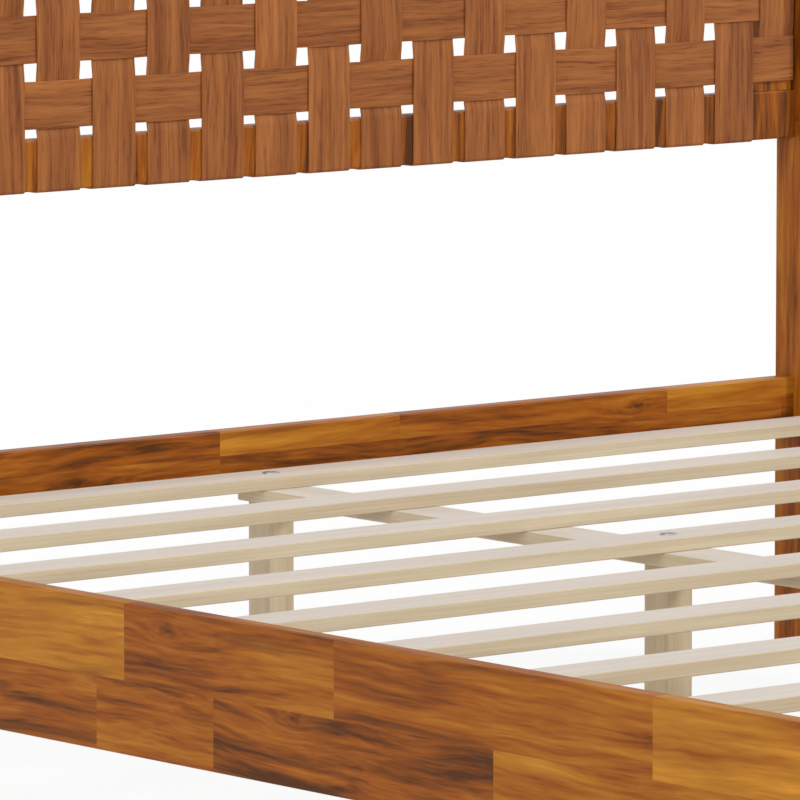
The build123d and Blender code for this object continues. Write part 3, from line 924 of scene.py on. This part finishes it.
def wrapped_line(front, back_depth, low, high, radius):
    """Middle line of a strip that is wrapped round both ends of its frame, with a tail at each end.

    low and high are where the line passes the frame's ends, and back_depth where it runs behind it.
    """
    inner_front = [point for point in front if low + radius < point[0] < high - radius]
    first_depth, last_depth = front[0][1], front[-1][1]
    line = [(low + STRIP_TAIL, back_depth), (low + STRIP_TAIL / 2, back_depth)]
    line += quarter_turn((low + radius, back_depth - radius), radius, 90, 90)
    line += quarter_turn((low + radius, first_depth + radius), radius, 180, 90)
    line += inner_front
    line += quarter_turn((high - radius, last_depth + radius), radius, 270, 90)
    line += quarter_turn((high - radius, back_depth - radius), radius, 0, 90)
    line += [(high - STRIP_TAIL / 2, back_depth), (high - STRIP_TAIL, back_depth)]
    return line


def strip_mesh(name, line, low, high, edge, rng, to_place):
    """The skin of a strip whose middle line is given as (distance, depth), between two edges.

    to_place turns (across, distance, depth) in millimetres into a point of the bed.
    """
    half = STRIP_THICKNESS / 2
    section = rounded_section((low, -half), (high, half), edge / MM, [], 2)
    vertices, grain = [], []
    length = 0.0
    last = len(line) - 1
    for place, (distance, depth) in enumerate(line):
        before = line[max(place - 1, 0)]
        after = line[min(place + 1, last)]
        tangent = Vector((after[0] - before[0], after[1] - before[1])).normalized()
        if place:
            length += math.dist(line[place], line[place - 1])
        for across, out in section:
            point = (distance - tangent.y * out, depth + tangent.x * out)
            vertices.append(to_place(across, *point))
            grain.append((length * MM, across * MM, out * MM))
    count = len(section)
    faces = [tuple(range(count)), tuple(range(last * count, (last + 1) * count))]
    for ring in range(last):
        faces += [joining_face(ring * count, corner, count) for corner in range(count)]
    mesh = new_mesh(name, vertices, faces)
    tone = rng.uniform(*VENEER_TONES)
    set_attribute(mesh, "grain", "FLOAT_VECTOR", "POINT", grain)
    set_attribute(mesh, "seed", "FLOAT", "FACE", [rng.uniform(0.0, FIGURES)] * len(faces))
    set_attribute(mesh, "tone", "FLOAT", "FACE", [tone] * len(faces))
    return mesh


class BED_OT_weave(bpy.types.Operator):
    """Weave the headboard's upright and level strips"""

    bl_idname = "bed.weave"
    bl_label = "Woven Strips"
    bl_options = {"REGISTER", "UNDO"}

    def execute(self, context):
        sizes = context.scene.bed_sizes
        material = veneer(context.scene.bed_colours)
        bow = sizes.strip_bow / MM
        rows = range(CROSSING_COUNT)
        indexes = range(UPRIGHT_COUNT)
        rail_low, rail_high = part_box("headboard_lower_rail")
        front_line = rail_low.y / MM - STRIP_THICKNESS / 2
        radius = PANEL_RAIL_EASE + STRIP_THICKNESS / 2
        bottom = rail_low.z / MM - STRIP_THICKNESS / 2
        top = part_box("headboard_upper_rail")[1].z / MM + STRIP_THICKNESS / 2
        rail_back = rail_high.y / MM + STRIP_THICKNESS / 2 - front_line
        first_crossing = crossing_span(0)[0]
        last_crossing = crossing_span(CROSSING_COUNT - 1)[1]

        for index in indexes:
            name = f"upright_strip_{index + 1:02d}"
            rng = wood_yard(name)
            left, right = upright_span(index)
            spans = [crossing_span(row) for row in rows]
            behind = [0 if upright_in_front(index, row) else 1 for row in rows]
            if index in (0, UPRIGHT_COUNT - 1):
                start = (first_crossing + END_UPRIGHT_TRIM, behind[0])
                end = (last_crossing - END_UPRIGHT_TRIM, behind[-1])
                line = woven_run(spans, behind, start, end, bow)
            else:
                front = woven_run(spans, behind, (rail_high.z / MM, 0), (top - PANEL_RAIL_HEIGHT, 0), bow)
                line = wrapped_line(front, rail_back, bottom, top, radius)

            def on_upright(across, distance, depth):
                return (across * MM, (front_line + depth) * MM, distance * MM)

            mesh = strip_mesh(f"{name}_veneer", line, left, right, sizes.strip_edge, rng, on_upright)
            add_piece(mesh, material, "strip_veneer", name)

        stile_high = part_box("headboard_stile_right")[1]
        wrap = stile_high.x / MM + WRAP_SLACK + STRIP_THICKNESS / 2
        stile_back = stile_high.y / MM + STRIP_THICKNESS / 2 - front_line
        for row in rows:
            name = f"level_strip_{row + 1}"
            rng = wood_yard(name)
            low, high = crossing_span(row)
            spans = [upright_span(index) for index in indexes]
            behind = [1 if upright_in_front(index, row) else 0 for index in indexes]
            front = woven_run(spans, behind, (-wrap, behind[0]), (wrap, behind[-1]), bow)
            line = wrapped_line(front, stile_back, -wrap, wrap, radius)

            def on_level(across, distance, depth):
                return (distance * MM, (front_line + depth) * MM, across * MM)

            mesh = strip_mesh(f"{name}_veneer", line, low, high, sizes.strip_edge, rng, on_level)
            add_piece(mesh, material, "strip_veneer", name)
        return {"FINISHED"}


class BED_OT_slats(bpy.types.Operator):
    """Finish the slats, the cleats under their ends, the centre beam and its legs"""

    bl_idname = "bed.slats"
    bl_label = "Slats and Centre Support"
    bl_options = {"REGISTER", "UNDO"}

    def execute(self, context):
        colours = context.scene.bed_colours
        for number in range(1, SLAT_COUNT + 1):
            finish_node(f"slat_{number}", poplar(colours, ALONG_X))
        for name in ("side_cleat_right", "side_cleat_left", "centre_beam"):
            finish_node(name, poplar(colours, ALONG_Y))
        for number in range(1, len(LEG_SLATS) + 1):
            finish_node(f"centre_leg_{number}", poplar(colours, ALONG_Z))
        return {"FINISHED"}


def outline_radius(outline, size, angle):
    """Distance from the middle to a ring's outline: round, hexagon or cross.

    A hexagon's size is measured to its flats.
    """
    if outline == "hexagon":
        sixth = math.radians(60)
        return size / math.cos(angle - sixth * round(angle / sixth))
    if outline == "cross":
        quarter = math.radians(90)
        arm_half_width = math.radians(20)
        from_arm = abs(angle - quarter * round(angle / quarter))
        return size if from_arm < arm_half_width else 0.4 * size
    return size


def turned_parts(name, rings, places):
    """One mesh of like fasteners. rings are (outline, size, height) in millimetres from tip to top.

    places are (seat, direction that the top points), in metres.
    """
    steps = 24
    vertices, faces = [], []
    for seat, direction in places:
        aim = Vector((0, 0, 1)).rotation_difference(direction)
        base = len(vertices)
        for outline, size, height in rings:
            for step in range(steps):
                angle = math.tau * step / steps
                radius = outline_radius(outline, size, angle)
                point = Vector((radius * math.cos(angle), radius * math.sin(angle), height)) * MM
                vertices.append(seat + aim @ point)
        for ring in range(len(rings) - 1):
            faces += [joining_face(base + ring * steps, step, steps) for step in range(steps)]
        last = base + (len(rings) - 1) * steps
        faces.append([base + step for step in range(steps)])
        faces.append([last + step for step in range(steps)])
    return new_mesh(name, vertices, faces)


# A wide, low dome on a plain shank, with a hexagon socket
SLAT_BOLT_RINGS = (
    ("round", 3.2, -72.0),
    ("round", 4.0, -71.0),
    ("round", 4.0, 0.0),
    ("round", 10.3, 0.0),
    ("round", 10.5, 0.3),
    ("round", 10.4, 0.7),
    ("round", 9.3, 1.3),
    ("round", 7.4, 1.8),
    ("round", 5.2, 2.1),
    ("round", 3.6, 2.2),
    ("hexagon", 2.7, 2.15),
    ("hexagon", 2.5, 1.9),
    ("hexagon", 2.5, 0.6),
)
# A hexagon head, chamfered round its top, on its washer
BRACKET_BOLT_RINGS = (
    ("round", 2.3, -20.0),
    ("round", 3.0, -19.0),
    ("round", 3.0, 0.0),
    ("round", 6.3, 0.0),
    ("round", 6.5, 0.2),
    ("round", 6.5, 0.8),
    ("round", 6.2, 0.9),
    ("hexagon", 4.9, 0.9),
    ("hexagon", 4.9, 3.1),
    ("round", 5.0, 3.6),
    ("round", 0.5, 3.6),
)
# A countersunk wood screw's head, 7.5 mm across, with a cross recess
SLAT_SCREW_RINGS = (
    ("round", 1.2, -6.0),
    ("round", 1.8, -2.4),
    ("round", 3.6, -0.3),
    ("round", 3.75, 0.0),
    ("round", 3.6, 0.25),
    ("round", 2.7, 0.32),
    ("cross", 2.2, 0.32),
    ("cross", 1.7, -1.0),
)
# A nylon glide with a rounded rim
GLIDE_RINGS = (
    ("round", 12.0, 0.0),
    ("round", 13.2, 0.3),
    ("round", 13.8, 1.0),
    ("round", 14.0, 1.8),
    ("round", 14.0, 3.0),
)


def staple(middle, turn):
    """Points and faces of one staple's crown, pressed into the back of a strip's tail."""
    work = bmesh.new()
    bmesh.ops.create_cube(work, size=1.0)
    bmesh.ops.scale(work, verts=work.verts, vec=[MM * side for side in STAPLE_SIZE])
    crown = [edge for edge in work.edges if all(vert.co.y > 0 for vert in edge.verts)]
    bmesh.ops.bevel(work, geom=crown, offset=STAPLE_EASE * MM, segments=2, affect="EDGES")
    spin = Vector((1, 0, 0)).rotation_difference(Vector((math.cos(turn), 0, math.sin(turn))))
    points = [middle + spin @ vert.co for vert in work.verts]
    faces = [[vert.index for vert in face.verts] for face in work.faces]
    work.free()
    return points, faces


class BED_OT_bolts(bpy.types.Operator):
    """Build the bolts, the screws at the slats' ends and the corner brackets' finish"""

    bl_idname = "bed.bolts"
    bl_label = "Bolts, Screws and Brackets"
    bl_options = {"REGISTER", "UNDO"}

    def execute(self, context):
        steel = zinc_steel(context.scene.bed_colours)
        finish_node("corner_brackets", steel)
        up = Vector((0, 0, 1))
        seats = []
        for number in LEG_SLATS:
            low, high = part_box(f"slat_{number}")
            seats.append((Vector((0, (low.y + high.y) / 2, high.z)), up))
        mesh = turned_parts("slat_bolt_heads", SLAT_BOLT_RINGS, seats)
        add_piece(mesh, steel, "steel", "slat_bolts")

        low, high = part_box("corner_brackets")
        plate = BRACKET_THICKNESS * MM
        rail_y = high.y - (BRACKET_RAIL_LEG - BRACKET_BOLT_INSET) * MM
        post_x = high.x - (BRACKET_POST_LEG - BRACKET_BOLT_INSET) * MM
        seats = []
        for z in (low.z + BRACKET_BOLT_EDGE * MM, high.z - BRACKET_BOLT_EDGE * MM):
            for side in (1, -1):
                for end in (1, -1):
                    rail_seat = Vector((side * (high.x - plate), end * rail_y, z))
                    seats.append((rail_seat, Vector((-side, 0, 0))))
                    post_seat = Vector((side * post_x, end * (high.y - plate), z))
                    seats.append((post_seat, Vector((0, -end, 0))))
        mesh = turned_parts("bracket_bolt_heads", BRACKET_BOLT_RINGS, seats)
        add_piece(mesh, steel, "steel", "bracket_bolts")

        cleat = (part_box("side_cleat_right")[0].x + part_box("side_cleat_right")[1].x) / 2
        seats = []
        for number in range(1, SLAT_COUNT + 1):
            low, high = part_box(f"slat_{number}")
            for side in (1, -1):
                seats.append((Vector((side * cleat, (low.y + high.y) / 2, high.z)), up))
        mesh = turned_parts("slat_screws", SLAT_SCREW_RINGS, seats)
        add_piece(mesh, steel, "steel")
        return {"FINISHED"}


class BED_OT_staples(bpy.types.Operator):
    """Build the staples that hold the strips' tails behind the headboard"""

    bl_idname = "bed.staples"
    bl_label = "Staples"
    bl_options = {"REGISTER", "UNDO"}

    def execute(self, context):
        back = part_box("upright_strip_02")[1].y
        places = []
        for index in range(1, UPRIGHT_COUNT - 1):
            left, right = upright_span(index)
            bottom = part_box("headboard_lower_rail")[0].z + STAPLE_DEPTH * MM
            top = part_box("headboard_upper_rail")[1].z - STAPLE_DEPTH * MM
            for z in (bottom, top):
                for share in STAPLE_SHARES:
                    x = (left + share * (right - left)) * MM
                    places.append((Vector((x, back, z)), math.radians(STAPLE_LEAN)))
        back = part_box("level_strip_1")[1].y
        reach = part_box("level_strip_1")[1].x - STAPLE_DEPTH * MM
        for row in range(CROSSING_COUNT):
            low, high = crossing_span(row)
            for side in (1, -1):
                for share in STAPLE_SHARES:
                    z = (low + share * (high - low)) * MM
                    places.append((Vector((side * reach, back, z)), math.radians(90 - STAPLE_LEAN)))
        vertices, faces = [], []
        for middle, turn in places:
            base = len(vertices)
            points, sides = staple(middle, turn)
            vertices += points
            faces += [[base + corner for corner in side] for side in sides]
        mesh = new_mesh("strip_staples", vertices, faces)
        add_piece(mesh, zinc_steel(context.scene.bed_colours), "steel")
        return {"FINISHED"}


class BED_OT_glides(bpy.types.Operator):
    """Build the floor glides under the posts and the centre legs"""

    bl_idname = "bed.glides"
    bl_label = "Floor Glides"
    bl_options = {"REGISTER", "UNDO"}

    def execute(self, context):
        up = Vector((0, 0, 1))
        seats = []
        feet = [f"{end}_post_{side}" for end in ("head", "foot") for side in ("right", "left")]
        feet += [f"centre_leg_{number}" for number in range(1, len(LEG_SLATS) + 1)]
        for name in feet:
            low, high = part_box(name)
            seats.append((Vector(((low.x + high.x) / 2, (low.y + high.y) / 2, 0)), up))
        mesh = turned_parts("nylon_glides", GLIDE_RINGS, seats)
        add_piece(mesh, nylon(context.scene.bed_colours), "glide", "floor_glides")
        return {"FINISHED"}


def sun(name, towards, strength, angle):
    """A soft white lamp that shines the same way everywhere.

    towards is the direction of its light, and angle is how wide it looks, in degrees.
    """
    data = bpy.data.lights.new(name, "SUN")
    data.energy = strength
    data.angle = math.radians(angle)
    lamp = bpy.data.objects.new(name, data)
    lamp.rotation_mode = "QUATERNION"
    lamp.rotation_quaternion = Vector(towards).to_track_quat("-Z", "Y")
    bpy.context.scene.collection.objects.link(lamp)


class BED_OT_stage(bpy.types.Operator):
    """Build the floor, the light and the camera"""

    bl_idname = "bed.stage"
    bl_label = "Floor, Light and Camera"
    bl_options = {"REGISTER", "UNDO"}

    def execute(self, context):
        scene = context.scene
        corners = [(x * FLOOR_REACH, y * FLOOR_REACH, 0.0) for x, y in ((-1, -1), (1, -1), (1, 1), (-1, 1))]
        mesh = bpy.data.meshes.new("studio_floor")
        mesh.from_pydata(corners, [], [(0, 1, 2, 3)])
        mesh.materials.append(studio_floor(scene.bed_colours))
        floor = bpy.data.objects.new("studio_floor", mesh)
        scene.collection.objects.link(floor)

        world = bpy.data.worlds.new("white_studio")
        world.use_nodes = True
        tree = world.node_tree
        tree.nodes.clear()
        levels = {"Value": seen_directly(tree), "To Min": ROOM_LIGHT, "To Max": 1.0}
        strength = add(tree, "ShaderNodeMapRange", levels)
        background = add(
            tree,
            "ShaderNodeBackground",
            {"Color": (1.0, 1.0, 1.0, 1.0), "Strength": strength.outputs["Result"]},
        )
        add(tree, "ShaderNodeOutputWorld", {"Surface": background.outputs[0]})
        scene.world = world

        sun("key_light", towards=(-0.6, 0.6, -0.6), strength=1.5, angle=12.0)
        sun("fill_light", towards=(0.9, 0.35, -0.3), strength=1.0, angle=50.0)

        data = bpy.data.cameras.new("camera")
        data.sensor_width = 36.0
        data.lens = CAMERA_LENS
        data.clip_start = 0.5
        data.clip_end = 300.0
        camera = bpy.data.objects.new("camera", data)
        camera.location = CAMERA_PLACE
        camera.rotation_euler = (math.radians(90 - CAMERA_TILT), 0.0, math.radians(-CAMERA_HEADING))
        scene.collection.objects.link(camera)
        scene.camera = camera
        scene.view_settings.view_transform = "Standard"
        return {"FINISHED"}


BUILDERS = (
    BED_OT_posts,
    BED_OT_side_rails,
    BED_OT_cross_rails,
    BED_OT_panel_frame,
    BED_OT_weave,
    BED_OT_slats,
    BED_OT_bolts,
    BED_OT_staples,
    BED_OT_glides,
    BED_OT_stage,
)


class BED_PT_panel(bpy.types.Panel):
    """Lists the bed's sizes, colours and pieces"""

    bl_idname = "BED_PT_panel"
    bl_label = "Woven Headboard Bed"
    bl_space_type = "VIEW_3D"
    bl_region_type = "UI"
    bl_category = "Bed"

    def draw(self, context):
        for settings in (context.scene.bed_sizes, context.scene.bed_colours):
            box = self.layout.box()
            for name in settings.bl_rna.properties.keys():
                if name not in ("rna_type", "name"):
                    box.prop(settings, name)
        column = self.layout.column(align=True)
        for builder in BUILDERS:
            column.operator(builder.bl_idname)


CLASSES = (BedSizes, BedColours, *BUILDERS, BED_PT_panel)


def register():
    for cls in CLASSES:
        bpy.utils.register_class(cls)
    bpy.types.Scene.bed_sizes = PointerProperty(type=BedSizes)
    bpy.types.Scene.bed_colours = PointerProperty(type=BedColours)


def unregister():
    del bpy.types.Scene.bed_colours
    del bpy.types.Scene.bed_sizes
    for cls in reversed(CLASSES):
        bpy.utils.unregister_class(cls)


def main():
    register()
    for builder in BUILDERS:
        getattr(bpy.ops.bed, builder.bl_idname.split(".")[1])()


if __name__ == "__main__":
    main()
